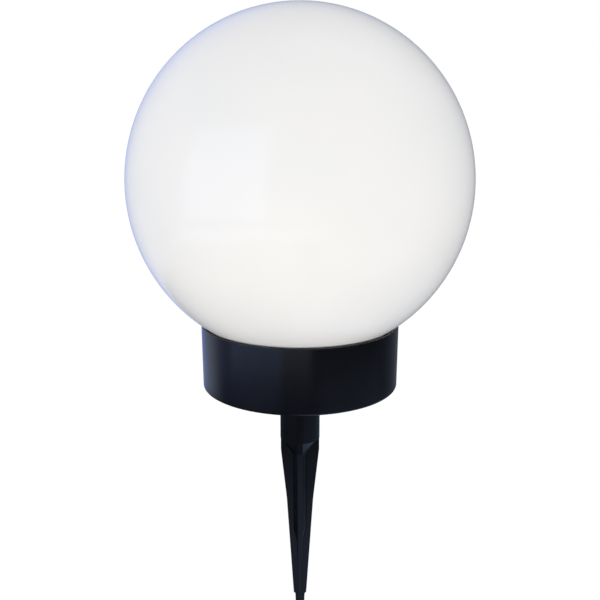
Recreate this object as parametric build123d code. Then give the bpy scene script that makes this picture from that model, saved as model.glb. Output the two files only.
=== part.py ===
from build123d import *
import os
from math import cos, radians, sin, sqrt, tan

# Solar garden light: an opal globe on a round black base that plugs onto a ground stake.
# Millimetres, +Z up. The origin is on the stake's axis at the ground line, where the blade starts
# to taper. The battery door is on the +Y side of the base's underside, the switch on the -Y side.

# ---- Stake: stem, blade and point, with the plug that enters the base
stem_above_ground = 43.5
stem_radius = 12.25
stem_end = 7.7  # height of the step where the round stem turns into the blade
blade_step = 0.25
mid_depth, mid_half_width = 33.6, 8.4
end_depth, end_half_width = 101.6, 4.1
point_half_width = 3.05
point_depth, point_length = 109.2, 4.0
tip_half_width = 0.5
root_thickness, end_thickness = 3.4, 2.2
upper_core_radius, lower_core_radius = 4.6, 2.4
core_slope_depth, core_slope_length = 55.0, 9.0
shoulder_slope = 11.0
plug_length = 24.0
stem_hollow = 24.0  # depth of the stem's hollow below the base's underside
plug_step = 1.5
plug_wall = 1.9
plug_play = 0.1
shoulder_sink = 0.6
shoulder_chamfer = 0.8

# ---- Base cup
base_radius = 59.3
base_draft = 0.3
base_height = 39.2
base_wall = 2.2
base_floor = 2.4
foot_round = 1.6
rim_round = 0.4
rim_land = 1.2
socket_wall = 2.4
socket_roof = 1.6
gusset_reach, gusset_height, gusset_thickness = 6.0, 12.0, 1.8
gusset_angles = (0, 180, 225, 315)

# ---- Globe and its bayonet lock
globe_radius = 100.0
globe_wall = 2.0
lip_air = 0.5
gasket_air = 0.3
gasket_width = 1.5
seat_depth = 4.1
seat_width = 1.8
flange_step = 2.1
flange_thickness = 3.0
ring_play = 0.1
ledge_reach, ledge_depth = 1.2, 2.4
neck_play = 1.0
neck_tail = 2.5
lug_count = 3
lug_arc = 24.0
lug_reach = 4.1
lug_height = 3.1
lug_play = 0.3
notch_play_arc = 5.0
lock_turn = 36.0
stop_arc = 3.0
stop_play_arc = 0.45

# ---- Battery, its contacts and its bay
battery_radius = 7.25
battery_length = 49.2
nub_radius, nub_length = 2.75, 1.3
battery_edge = 0.3
battery_play = 0.3
contact_thickness = 0.4
contact_width = 12.0
contact_height = 11.0
tab_height, tab_reach = 3.0, 2.5
spring_length = 5.7
spring_wire = 0.8
spring_wide_radius, spring_narrow_radius = 4.4, 2.9
spring_half_turns = 6
bay_play = 0.4
bay_wall = 1.6
bay_roof = 1.5

# ---- Battery door
door_thickness = 1.4
door_sink = 0.3
door_play = 0.3
door_corner = 3.0
door_end, door_side = 5.7, 4.0
door_to_socket = 3.5
door_gasket_thickness, door_gasket_setback = 1.0, 0.5
door_screw_inset = 3.2
pad_thickness, pad_border = 1.8, 2.0
boss_wall = 1.8
door_boss_height = 8.6

# ---- Screws
screw_shank_radius, screw_head_radius, screw_head_height = 1.2, 2.4, 1.6
door_screw_length = 9.0
deck_screw_length = 9.0
board_screw_length = 5.5
screw_play = 0.1
thread_play = 0.05
small_shank_radius, small_head_radius = 1.0, 1.9
small_screw_length = 3.6

# ---- Module housing, the white drum that stands in the globe's neck
deck_thickness = 2.0
deck_play = 0.4
deck_width = 6.1
deck_air = 0.2
deck_screw_angles = (30, 150, 270)
housing_above_rim = 8.4
housing_wall = 2.0
housing_edge = 1.2
pocket_depth = 3.0
pocket_corner_margin = 3.5

# ---- Solar cell laminate
cell_margin = 0.5
backing_thickness = 1.2
cell_thickness = 0.3
cell_border = 1.0
cell_strips, cell_gap = 4, 0.7
window_thickness = 1.0

# ---- Circuit board and what it carries
board_thickness = 1.6
board_play = 2.0
post_height = 6.0
post_radius = 2.6
post_inset = 7.5
led_inset = 6.0
led_radius, led_height = 2.5, 8.6
led_flange_radius, led_flange_height = 2.9, 1.0
led_stands_out = 1.6
led_hole_play = 0.2
led_pin, led_pin_pitch, pin_tail = 0.5, 2.54, 1.0
pin_hole = 0.9
chip_size = (5.0, 3.9, 1.5)
chip_place = (-4.0, -12.0)
chip_legs, chip_leg_pitch, chip_leg_reach = 4, 1.27, 1.0
inductor_radius, inductor_height = 4.0, 6.0
inductor_place = (-15.0, -4.0)
capacitor_radius, capacitor_height = 3.2, 6.8
capacitor_place = (15.0, -4.0)

# ---- Slide switch
switch_to_socket = 20.0
switch_length, switch_width, switch_height = 10.4, 5.6, 4.6
switch_wall = 0.8
ear_length, ear_thickness, ear_hole_spacing = 19.6, 0.5, 15.0
knob_size = 3.0
knob_travel = 3.0
knob_play = 0.2
shoe_length, shoe_height = 4.4, 1.2
switch_recess = (22.0, 9.0, 1.0)
terminal_pitch, terminal_height, terminal_width, terminal_thickness = 2.5, 3.0, 1.2, 0.5

# ---- Internal leads
lead_radius = 0.6
lead_upright = 0.3  # share of a lead's rise that is upright at each of its ends
lead_bend = 0.45  # share of a straight run that the bend at its end may take
battery_lead_shift = 6.5
switch_lead_shift = (2.5, 3.6)
cell_lead_shift = 2.5
wire_sides = 6

# ---- Levels and radii that follow from the driving dimensions
underside = stem_above_ground
floor_top = underside + base_floor
rim = underside + base_height
foot_radius = base_radius - base_draft
bore_radius = base_radius - base_wall
globe_centre = rim + sqrt((globe_radius + lip_air) ** 2 - (base_radius - rim_land) ** 2)

seat = rim - seat_depth
seat_radius = bore_radius - seat_width
flange_top = seat - flange_step
flange_bottom = flange_top - flange_thickness
notch_radius = seat_radius - lug_play
lug_radius = notch_radius - lug_play
neck_radius = lug_radius - lug_reach
flange_bore = neck_radius + neck_play
lug_top = flange_bottom - lug_play
lug_bottom = lug_top - lug_height
neck_bottom = lug_bottom - neck_tail

plug_radius = stem_radius - plug_step
socket_radius = plug_radius + plug_play
socket_outer = socket_radius + socket_wall
shoulder = underside + shoulder_sink
plug_top = underside + plug_length
hollow_floor = underside - stem_hollow
socket_ceiling = plug_top + shoulder_chamfer
counterbore_radius = stem_radius + shoulder_sink

recess_ceiling = underside + door_sink + door_thickness + door_gasket_thickness
bay_ceiling = recess_ceiling + 2 * battery_play + 2 * battery_radius
bay_top = bay_ceiling + bay_roof
bay_length = battery_length + nub_length + spring_length + 2 * contact_thickness
bay_width = 2 * (battery_radius + bay_play)
door_length = bay_length + 2 * door_end
door_width = bay_width + 2 * door_side
bay_y = counterbore_radius + door_to_socket + door_width / 2
battery_z = recess_ceiling + battery_play + battery_radius
tab_top = battery_z + contact_height / 2
tab_end = bay_y - bay_width / 2 - bay_wall - tab_reach
door_screw_x = door_length / 2 - door_screw_inset
door_boss_top = recess_ceiling + door_boss_height

deck_bottom = bay_top + deck_air
deck_top = deck_bottom + deck_thickness
deck_radius = flange_bore - deck_play
drum_radius = deck_radius - deck_width
deck_screw_circle = drum_radius + deck_width / 2
housing_top = rim + housing_above_rim
pocket_floor = housing_top - pocket_depth
post_circle = drum_radius - housing_wall - post_inset
led_circle = drum_radius - housing_wall - led_inset
pocket_side = sqrt(2) * (drum_radius - pocket_corner_margin)
laminate_side = pocket_side - 2 * cell_margin
board_top = pocket_floor - housing_wall - post_height
board_bottom = board_top - board_thickness
led_base = housing_top + led_stands_out - led_height

switch_y = -(stem_radius + switch_to_socket)
slot_length = knob_size + knob_travel + 2 * knob_play
slot_width = knob_size + 2 * knob_play


def block(x, y, z):
    """Box between three spans, each given as (low, high)."""
    spans = (x, y, z)
    middle = [(low + high) / 2 for low, high in spans]
    return Pos(*middle) * Box(*[high - low for low, high in spans])


def ring(inner, outer, low, high, start=0.0, arc=360.0):
    """Round tube about Z, or the part of it from the angle start through arc."""
    section = Pos((inner + outer) / 2, (low + high) / 2) * Rectangle(outer - inner, high - low)
    return Rot(0, 0, start) * revolve(Plane.XZ * section, Axis.Z, arc)


def turned(*corners):
    """Solid of revolution about Z from the corners of its half section, as (radius, height)."""
    return revolve(Plane.XZ * make_face(Polyline(*corners, close=True)), Axis.Z)


def rod(radius, low, high, place=(0, 0)):
    """Upright round bar at place."""
    return Pos(*place, 0) * ring(0, radius, low, high)


def around(circle, angles):
    """Places on a circle about Z."""
    return [(circle * cos(radians(a)), circle * sin(radians(a))) for a in angles]


def on_globe(offset, radius):
    """Point of the half section, below the centre, on the globe's sphere grown by offset."""
    return radius, globe_centre - sqrt((globe_radius + offset) ** 2 - radius**2)


def wall_inside(level):
    """Inside radius of the drafted base wall at a level."""
    return foot_radius + base_draft * (level - underside) / base_height - base_wall


def near(face, corner):
    """The vertex of a flat section at a corner."""
    return face.vertices().sort_by_distance((*corner, 0))[0]


def pan_screw(length):
    """Pan head screw, head up, with the underside of its head at the origin."""
    edge = screw_head_height / 2
    return turned(
        (0, -length),
        (screw_shank_radius, -length),
        (screw_shank_radius, 0),
        (screw_head_radius, 0),
        (screw_head_radius, screw_head_height - edge),
        (screw_head_radius - edge, screw_head_height),
        (0, screw_head_height),
    )


def countersunk_screw(head_radius, shank_radius, length, grow=0.0):
    """Countersunk screw that points up, with its flat head face at the origin. Grown, it is its hole."""
    cone = head_radius - shank_radius
    return turned(
        (0, 0),
        (head_radius + grow, 0),
        (shank_radius + grow, cone),
        (shank_radius + grow, length + grow),
        (0, length + grow),
    )


# ---- Globe


def make_globe():
    """Hollow sphere with an open neck and bayonet lugs."""
    inside = -globe_wall
    neck_inside = neck_radius - globe_wall
    outer = ThreePointArc(
        (0, globe_centre + globe_radius), (globe_radius, globe_centre), on_globe(0, neck_radius)
    )
    neck = Polyline(
        on_globe(0, neck_radius),
        (neck_radius, neck_bottom),
        (neck_inside, neck_bottom),
        on_globe(inside, neck_inside),
    )
    inner = ThreePointArc(
        on_globe(inside, neck_inside),
        (globe_radius - globe_wall, globe_centre),
        (0, globe_centre + globe_radius - globe_wall),
    )
    crown = Line(inner @ 1, outer @ 0)
    globe = revolve(Plane.XZ * make_face(outer + neck + inner + crown), Axis.Z)
    for number in range(lug_count):
        start = number * 360 / lug_count - lug_arc / 2
        globe += ring(neck_radius - globe_wall / 2, lug_radius, lug_bottom, lug_top, start, lug_arc)
    return globe


def make_globe_gasket():
    """Rubber ring on the base's seat, hollowed on top to the globe's own curve."""
    outer = bore_radius - gasket_air
    inner = outer - gasket_width
    top = ThreePointArc(*[on_globe(gasket_air, r) for r in (inner, (inner + outer) / 2, outer)])
    sides = Polyline(top @ 1, (outer, seat), (inner, seat), top @ 0)
    return revolve(Plane.XZ * make_face(top + sides), Axis.Z)


# ---- Base


def make_cup():
    """Drafted cup with the globe's lip at its rim and, lower down, a ledge for the bayonet ring."""
    rim_inside = base_radius - rim_land
    outside = Polyline((0, underside), (foot_radius, underside), (base_radius, rim), (rim_inside, rim))
    lip_radii = (rim_inside, (rim_inside + bore_radius) / 2, bore_radius)
    lip = ThreePointArc(*[on_globe(lip_air, r) for r in lip_radii])
    inside = Polyline(
        lip @ 1,
        (bore_radius, flange_bottom),
        (bore_radius - ledge_reach, flange_bottom),
        (wall_inside(flange_bottom - ledge_depth), flange_bottom - ledge_depth),
        (wall_inside(floor_top), floor_top),
        (0, floor_top),
        (0, underside),
    )
    section = make_face(outside + lip + inside)
    section = fillet(near(section, (foot_radius, underside)), foot_round)
    section = fillet(near(section, (base_radius, rim)), rim_round)
    return revolve(Plane.XZ * section, Axis.Z)


def make_bayonet_ring():
    """Ring bonded onto the cup's ledge: gasket seat, and a flange with notches and stops for the lugs."""
    outer = bore_radius - ring_play
    bayonet = turned(
        (flange_bore, flange_bottom),
        (outer, flange_bottom),
        (outer, seat),
        (seat_radius, seat),
        (seat_radius, flange_top),
        (flange_bore, flange_top),
    )
    stop_radius = bore_radius - ledge_reach - ring_play
    stop_start = lug_arc / 2 + stop_play_arc
    notch_arc = notch_play_arc + lug_arc / 2 + stop_start
    for number in range(lug_count):
        middle = number * 360 / lug_count
        notch_start = middle + lock_turn - lug_arc / 2 - notch_play_arc
        notch = ring(flange_bore - neck_play, notch_radius, flange_bottom, flange_top, notch_start, notch_arc)
        bayonet -= notch
        for start in (middle - stop_start - stop_arc, middle + lock_turn + stop_start):
            bayonet += ring(flange_bore, stop_radius, lug_bottom, flange_bottom, start, stop_arc)
    return bayonet


def make_socket():
    """Blind tube for the stake's plug, with gussets down to the floor."""
    socket = rod(socket_outer, underside, socket_ceiling + socket_roof)
    for angle in gusset_angles:
        outline = Polyline(
            (socket_radius, floor_top),
            (socket_outer + gusset_reach, floor_top),
            (socket_outer, floor_top + gusset_height),
            (socket_radius, floor_top + gusset_height),
            close=True,
        )
        gusset = extrude(Plane.XZ * make_face(outline), gusset_thickness / 2, both=True)
        socket += Rot(0, 0, angle) * gusset
    return socket


def make_bay():
    """Battery box over the door's opening, on a pad that carries the door's recess and bosses."""
    half_x, half_y = bay_length / 2 + bay_wall, bay_width / 2 + bay_wall
    bay = block((-half_x, half_x), (bay_y - half_y, bay_y + half_y), (floor_top, bay_top))
    pad_x, pad_y = door_length / 2 + pad_border, door_width / 2 + pad_border
    pad = block(
        (-pad_x, pad_x), (bay_y - pad_y, bay_y + pad_y), (floor_top, recess_ceiling + pad_thickness)
    )
    bay += pad & rod(foot_radius - base_wall / 2, underside, bay_top)
    for x in (-door_screw_x, door_screw_x):
        bay += rod(screw_shank_radius + screw_play + boss_wall, floor_top, door_boss_top, (x, bay_y))
    return bay


def cut_bay():
    """Space of the bay, the door's recess, its screw holes and the side slots for the contact tabs."""
    half_x, half_y = bay_length / 2, bay_width / 2
    space = block((-half_x, half_x), (bay_y - half_y, bay_y + half_y), (underside, bay_ceiling))
    outline = Pos(0, bay_y, underside) * RectangleRounded(door_length, door_width, door_corner)
    space += extrude(outline, recess_ceiling - underside)
    hole = screw_shank_radius + screw_play
    for x in (-door_screw_x, door_screw_x):
        space += rod(hole, underside, door_boss_top - boss_wall, (x, bay_y))
    slot_y = (bay_y - half_y - bay_wall, bay_y - half_y)
    slot_z = (tab_top - tab_height - battery_play, tab_top + battery_play)
    for side in (-1, 1):
        ends = sorted((side * (half_x - 2 * contact_thickness), side * half_x))
        space += block(ends, slot_y, slot_z)
    return space


def make_base_shell():
    """The black moulded base."""
    shell = make_cup() + make_socket() + make_bay()
    deck_places = around(deck_screw_circle, deck_screw_angles)
    for place in deck_places:
        shell += rod(screw_shank_radius + boss_wall, floor_top, deck_bottom, place)
    for place in deck_places:
        depth = deck_screw_length - deck_thickness + boss_wall / 2
        shell -= rod(screw_shank_radius + thread_play, deck_bottom - depth, deck_bottom, place)
    shell -= rod(socket_radius, underside, socket_ceiling)
    shell -= rod(counterbore_radius, underside, shoulder)
    shell -= cut_bay()
    return shell - cut_switch_place()


def cut_switch_place():
    """Shallow recess round the switch knob, its slot and the two countersunk screw holes."""
    length, width, depth = switch_recess
    outline = Pos(0, switch_y, underside) * RectangleRounded(length, width, door_corner)
    place = extrude(outline, depth)
    half_slot, half_width = slot_length / 2, slot_width / 2
    place += block(
        (-half_slot, half_slot), (switch_y - half_width, switch_y + half_width), (underside, floor_top)
    )
    for x in (-ear_hole_spacing / 2, ear_hole_spacing / 2):
        hole = countersunk_screw(small_head_radius, small_shank_radius, small_screw_length, thread_play)
        place += Pos(x, switch_y, underside + depth) * hole
    return place


# ---- Stake


def blade():
    """One pair of opposite fins, tapered in width and in thickness down to the point."""

    def thickness(depth):
        return root_thickness + (end_thickness - root_thickness) * depth / end_depth

    stations = (
        (stem_end, stem_radius - blade_step, root_thickness),
        (0, stem_radius - blade_step, root_thickness),
        (-mid_depth, mid_half_width, thickness(mid_depth)),
        (-end_depth, end_half_width, end_thickness),
        (-end_depth - (end_half_width - point_half_width), point_half_width, end_thickness),
        (-point_depth, point_half_width - blade_step, end_thickness),
        (-point_depth - point_length, tip_half_width, 2 * tip_half_width),
    )
    sections = [Pos(0, 0, z) * Rectangle(2 * half, thick) for z, half, thick in stations]
    return loft(sections, ruled=True)


def make_stake():
    """Hollow plug, round stem, and a cross-shaped blade about a stepped core."""
    bore = plug_radius - plug_wall
    stake = turned(
        (bore, plug_top),
        (plug_radius, plug_top),
        (plug_radius, shoulder),
        (stem_radius - shoulder_chamfer, shoulder),
        (stem_radius, shoulder - shoulder_chamfer),
        (stem_radius, stem_end),
        (stem_radius - 2 * blade_step, stem_end),
        (upper_core_radius, stem_end - shoulder_slope),
        (upper_core_radius - blade_step, -core_slope_depth),
        (lower_core_radius, -core_slope_depth - core_slope_length),
        (end_thickness / 2, -end_depth),
        (0, -end_depth),
        (0, hollow_floor),
        (bore, hollow_floor),
    )
    return stake + blade() + Rot(0, 0, 90) * blade()


# ---- Battery and its contacts


def make_battery():
    """AA cell lying along X, with its nub towards +X."""
    low = -bay_length / 2 + contact_thickness + spring_length
    cell = turned(
        (0, 0),
        (battery_radius - battery_edge, 0),
        (battery_radius, battery_edge),
        (battery_radius, battery_length - battery_edge),
        (battery_radius - battery_edge, battery_length),
        (nub_radius, battery_length),
        (nub_radius, battery_length + nub_length),
        (0, battery_length + nub_length),
    )
    return Pos(low, bay_y, battery_z) * Rot(0, 90, 0) * cell


def make_battery_contacts():
    """A plate at each end of the bay, each with a tab out through the wall nearer the lamp's axis."""
    plates = []
    for side in (-1, 1):
        x = sorted((side * (bay_length / 2 - contact_thickness), side * bay_length / 2))
        y = (bay_y - contact_width / 2, bay_y + contact_width / 2)
        plate = block(x, y, (tab_top - contact_height, tab_top))
        plates.append(plate + block(x, (tab_end, bay_y), (tab_top - tab_height, tab_top)))
    return Compound(plates)


def make_battery_spring():
    """Conical coil between the plate at the -X end and the battery."""
    steps = 2 * spring_half_turns
    lead_in = spring_wire / 2 + battery_play / 2
    rise = (spring_length - 2 * lead_in) / steps

    def point(step):
        radius = spring_wide_radius + (spring_narrow_radius - spring_wide_radius) * step / steps
        turn = radians(90 * step)
        return radius * cos(turn), radius * sin(turn), lead_in + rise * step

    halves = [ThreePointArc(point(n), point(n + 1), point(n + 2)) for n in range(0, steps, 2)]
    path = Wire(halves)
    coil = sweep(Plane(path @ 0, z_dir=path % 0) * RegularPolygon(spring_wire / 2, wire_sides), path=path)
    print("battery spring: gap between turns", round(4 * rise - spring_wire, 2))
    return Pos(-bay_length / 2 + contact_thickness, bay_y, battery_z) * Rot(0, 90, 0) * coil


# ---- Battery door


def door_outline(inset):
    """The recess's outline, drawn in by inset."""
    corner = door_corner - inset
    return Pos(0, bay_y) * RectangleRounded(door_length - 2 * inset, door_width - 2 * inset, corner)


def make_battery_door():
    """Flat plate with two countersunk screw holes."""
    outer_face = underside + door_sink
    door = extrude(Pos(0, 0, outer_face) * door_outline(door_play), door_thickness)
    for x in (-door_screw_x, door_screw_x):
        hole = countersunk_screw(screw_head_radius, screw_shank_radius, door_screw_length, thread_play)
        door -= Pos(x, bay_y, outer_face) * hole
    return door


def make_door_gasket():
    """Flat rubber frame between the door and the recess."""
    low = underside + door_sink + door_thickness
    opening = Rectangle(bay_length + 2 * door_gasket_setback, bay_width + 2 * door_gasket_setback)
    outline = door_outline(door_play) - Pos(0, bay_y) * opening
    for x in (-door_screw_x, door_screw_x):
        outline -= Pos(x, bay_y) * Circle(screw_shank_radius + screw_play)
    return extrude(Pos(0, 0, low) * outline, door_gasket_thickness)


def make_door_screws():
    """Two countersunk screws, flush with the door."""
    screw = countersunk_screw(screw_head_radius, screw_shank_radius, door_screw_length)
    places = [(x, bay_y, underside + door_sink) for x in (-door_screw_x, door_screw_x)]
    return Compound([Pos(*place) * screw for place in places])


# ---- Module housing and the solar cell


def make_module_housing():
    """White drum with a fixing deck, a square pocket for the cell and posts for the board."""
    inner = drum_radius - housing_wall
    section = make_face(
        Polyline(
            (0, housing_top),
            (drum_radius, housing_top),
            (drum_radius, deck_top),
            (deck_radius, deck_top),
            (deck_radius, deck_bottom),
            (inner, deck_bottom),
            (inner, housing_top - housing_wall),
            (0, housing_top - housing_wall),
            close=True,
        )
    )
    section = chamfer(near(section, (drum_radius, housing_top)), housing_edge)
    housing = revolve(Plane.XZ * section, Axis.Z)
    half = pocket_side / 2
    outside = (-half - housing_wall, half + housing_wall)
    tray = block(outside, outside, (pocket_floor - housing_wall, housing_top - housing_edge))
    housing += tray & rod(drum_radius - housing_wall / 2, deck_bottom, housing_top)
    housing -= block((-half, half), (-half, half), (pocket_floor, housing_top))
    for place in post_places():
        housing += rod(post_radius, board_top, pocket_floor, place)
    for place in post_places():
        housing -= rod(screw_shank_radius + thread_play, board_top, board_top + board_screw_length, place)
    for place in led_places():
        housing -= rod(led_radius + led_hole_play, deck_top, housing_top, place)
    for place in around(deck_screw_circle, deck_screw_angles):
        housing -= rod(screw_shank_radius + screw_play, deck_bottom, deck_top, place)
    for place in cell_lead_places():
        housing -= rod(lead_radius + led_hole_play, board_top, pocket_floor, place)
    return housing


def post_places():
    """The four board posts, between the lamps."""
    return around(post_circle, (45, 135, 225, 315))


def led_places():
    """The four lamps, on the axes."""
    return around(led_circle, (0, 90, 180, 270))


def cell_lead_places():
    """Where the two cell leads pass the pocket's floor."""
    return [(-led_pin_pitch, 0), (led_pin_pitch, 0)]


def laminate(side, low, thickness):
    """Square sheet in the cell's pocket."""
    return block((-side / 2, side / 2), (-side / 2, side / 2), (low, low + thickness))


def make_cell_backing():
    """Board that the cell strips are bonded to."""
    return laminate(laminate_side, pocket_floor, backing_thickness)


def make_solar_cell():
    """Strips of silicon side by side."""
    side = laminate_side - 2 * cell_border
    pitch = (side + cell_gap) / cell_strips
    low = pocket_floor + backing_thickness
    strips = []
    for number in range(cell_strips):
        start = -side / 2 + number * pitch
        x = (start, start + pitch - cell_gap)
        strips.append(block(x, (-side / 2, side / 2), (low, low + cell_thickness)))
    return Compound(strips)


def make_cell_window():
    """Clear cover over the cell."""
    low = pocket_floor + backing_thickness + cell_thickness
    return laminate(laminate_side, low, window_thickness)


def make_deck_screws():
    """Pan head screws from above, through the housing's deck into the base's bosses."""
    places = around(deck_screw_circle, deck_screw_angles)
    return Compound([Pos(*place, deck_top) * pan_screw(deck_screw_length) for place in places])


# ---- Circuit board


def led_pins(place):
    """Places of one lamp's two pins, side by side across its radius."""
    x, y = place
    across = Vector(-y, x).normalized() * (led_pin_pitch / 2)
    return [(x + sign * across.X, y + sign * across.Y) for sign in (-1, 1)]


def make_circuit_board():
    """Round board under the housing's posts, with round screw holes and square lamp pin holes."""
    radius = drum_radius - housing_wall - board_play
    board = rod(radius, board_bottom, board_top)
    for place in post_places():
        board -= rod(screw_shank_radius + screw_play, board_bottom, board_top, place)
    half = pin_hole / 2
    for lamp in led_places():
        for x, y in led_pins(lamp):
            board -= block((x - half, x + half), (y - half, y + half), (board_bottom, board_top))
    return board


def make_board_screws():
    """Pan head screws from below, through the board into the posts."""
    screw = Rot(180, 0, 0) * pan_screw(board_screw_length)
    return Compound([Pos(*place, board_bottom) * screw for place in post_places()])


def make_leds():
    """Round lamps with a flange, a domed end and two pins through the board."""
    dome_start = led_base + led_height - led_radius
    dome = [(r, dome_start + z) for r, z in around(led_radius, (0, 45))]
    body = turned(
        (0, led_base),
        (led_flange_radius, led_base),
        (led_flange_radius, led_base + led_flange_height),
        (led_radius, led_base + led_flange_height),
        *dome,
        (0, led_base + led_height),
    )
    half = led_pin / 2
    lamps = []
    for place in led_places():
        lamp = Pos(*place, 0) * body
        for x, y in led_pins(place):
            lamp += block((x - half, x + half), (y - half, y + half), (board_bottom - pin_tail, led_base))
        lamps.append(lamp)
    return Compound(lamps)


def make_controller_chip():
    """Small outline chip on the underside of the board, with bent legs down both sides."""
    length, width, height = chip_size
    x, y = chip_place
    low = board_bottom - height
    chip = block((x - length / 2, x + length / 2), (y - width / 2, y + width / 2), (low, board_bottom))
    first = x - chip_leg_pitch * (chip_legs - 1) / 2
    half = led_pin / 2
    for number in range(chip_legs):
        leg = first + number * chip_leg_pitch
        reach = (y - width / 2 - chip_leg_reach, y + width / 2 + chip_leg_reach)
        chip += block((leg - half, leg + half), reach, (board_bottom - half, board_bottom))
    return chip


def make_inductor():
    """Bobbin with a narrow waist, hung under the board."""
    flange = inductor_height / 5
    low = board_bottom - inductor_height
    waist = inductor_radius - flange
    bobbin = turned(
        (0, low),
        (inductor_radius, low),
        (inductor_radius, low + flange),
        (waist, low + flange),
        (waist, board_bottom - flange),
        (inductor_radius, board_bottom - flange),
        (inductor_radius, board_bottom),
        (0, board_bottom),
    )
    return Pos(*inductor_place, 0) * bobbin


def make_capacitor():
    """Can capacitor, hung under the board."""
    return rod(capacitor_radius, board_bottom - capacitor_height, board_bottom, capacitor_place)


# ---- Slide switch


def make_switch_body():
    """Metal can with two ears, open inside for the slider's shoe and slotted for its knob."""
    half_l, half_w = switch_length / 2, switch_width / 2
    y = (switch_y - half_w, switch_y + half_w)
    body = block((-half_l, half_l), y, (floor_top, floor_top + switch_height))
    body += block((-ear_length / 2, ear_length / 2), y, (floor_top, floor_top + ear_thickness))
    room_l, room_w = half_l - switch_wall, half_w - switch_wall
    room_top = floor_top + ear_thickness + shoe_height + 2 * knob_play
    body -= block(
        (-room_l, room_l), (switch_y - room_w, switch_y + room_w), (floor_top + ear_thickness, room_top)
    )
    half_slot, half_width = slot_length / 2, slot_width / 2
    slot_y = (switch_y - half_width, switch_y + half_width)
    body -= block((-half_slot, half_slot), slot_y, (floor_top, floor_top + ear_thickness))
    for x in (-ear_hole_spacing / 2, ear_hole_spacing / 2):
        hole = small_shank_radius + thread_play
        body -= rod(hole, floor_top, floor_top + ear_thickness, (x, switch_y))
    return body


def make_switch_slider():
    """Shoe inside the can and a knob down through the slot, at the end of its travel."""
    x = -knob_travel / 2
    low = floor_top + ear_thickness + knob_play
    half_shoe = shoe_length / 2
    room = switch_width / 2 - switch_wall - knob_play
    shoe = block(
        (x - half_shoe, x + half_shoe), (switch_y - room, switch_y + room), (low, low + shoe_height)
    )
    half = knob_size / 2
    knob_end = underside + knob_play
    knob = block((x - half, x + half), (switch_y - half, switch_y + half), (knob_end, low))
    return shoe + knob


def make_switch_terminals():
    """Three flat pins up from the can."""
    low = floor_top + switch_height
    half_w, half_t = terminal_width / 2, terminal_thickness / 2
    y = (switch_y - half_w, switch_y + half_w)
    pins = []
    for number in (-1, 0, 1):
        x = number * terminal_pitch
        pins.append(block((x - half_t, x + half_t), y, (low, low + terminal_height)))
    return Compound(pins)


def make_switch_screws():
    """Two small countersunk screws from below, through the floor and the ears."""
    screw = countersunk_screw(small_head_radius, small_shank_radius, small_screw_length)
    level = underside + switch_recess[2]
    places = [(x, switch_y, level) for x in (-ear_hole_spacing / 2, ear_hole_spacing / 2)]
    return Compound([Pos(*place) * screw for place in places])


# ---- Internal leads, from contact to board


def lead(start, end):
    """Wire that is upright at both ends and leans over between them, with bends as large as fit."""
    (x, y, low), (end_x, end_y, high) = start, end
    upright = lead_upright * (high - low)
    points = [start, (x, y, low + upright), (end_x, end_y, high - upright), end]
    radii = []
    for before, corner, after in zip(points, points[1:], points[2:]):
        run_in, run_out = Vector(*corner) - Vector(*before), Vector(*after) - Vector(*corner)
        half_turn = radians(run_in.get_angle(run_out) / 2)
        radii.append(lead_bend * min(run_in.length, run_out.length) / tan(half_turn))
    path = FilletPolyline(*points, radius=radii)
    return sweep(Plane(path @ 0, z_dir=path % 0) * RegularPolygon(lead_radius, wire_sides), path=path)


def make_battery_leads():
    """From the tab of each contact up to the board."""
    y = tab_end + tab_reach / 2
    wires = []
    for side in (-1, 1):
        x = side * (bay_length - contact_thickness) / 2
        wires.append(lead((x, y, tab_top), (x - side * battery_lead_shift, y, board_bottom)))
    return Compound(wires)


def make_switch_leads():
    """From the outer two terminals of the switch up to the board."""
    low = floor_top + switch_height + terminal_height
    shift_x, shift_y = switch_lead_shift
    wires = []
    for side in (-1, 1):
        start = (side * terminal_pitch, switch_y, low)
        end = (side * (terminal_pitch + shift_x), switch_y + shift_y, board_bottom)
        wires.append(lead(start, end))
    return Compound(wires)


def make_cell_leads():
    """From the cell's backing down through the pocket's floor to the board."""
    wires = []
    for x, y in cell_lead_places():
        shift = cell_lead_shift if x > 0 else -cell_lead_shift
        wires.append(lead((x, y, pocket_floor), (x + shift, y, board_top)))
    return Compound(wires)


pieces = {
    "globe": make_globe,
    "globe_gasket": make_globe_gasket,
    "base_shell": make_base_shell,
    "bayonet_ring": make_bayonet_ring,
    "stake": make_stake,
    "module_housing": make_module_housing,
    "deck_screws": make_deck_screws,
    "cell_backing": make_cell_backing,
    "solar_cell": make_solar_cell,
    "cell_window": make_cell_window,
    "leds": make_leds,
    "circuit_board": make_circuit_board,
    "board_screws": make_board_screws,
    "controller_chip": make_controller_chip,
    "inductor": make_inductor,
    "capacitor": make_capacitor,
    "battery": make_battery,
    "battery_spring": make_battery_spring,
    "battery_contacts": make_battery_contacts,
    "battery_door": make_battery_door,
    "door_gasket": make_door_gasket,
    "door_screws": make_door_screws,
    "switch_body": make_switch_body,
    "switch_slider": make_switch_slider,
    "switch_terminals": make_switch_terminals,
    "switch_screws": make_switch_screws,
    "battery_leads": make_battery_leads,
    "switch_leads": make_switch_leads,
    "cell_leads": make_cell_leads,
}

os.makedirs("parts", exist_ok=True)
for name, make in pieces.items():
    export_step(make(), f"parts/{name}.step")
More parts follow.
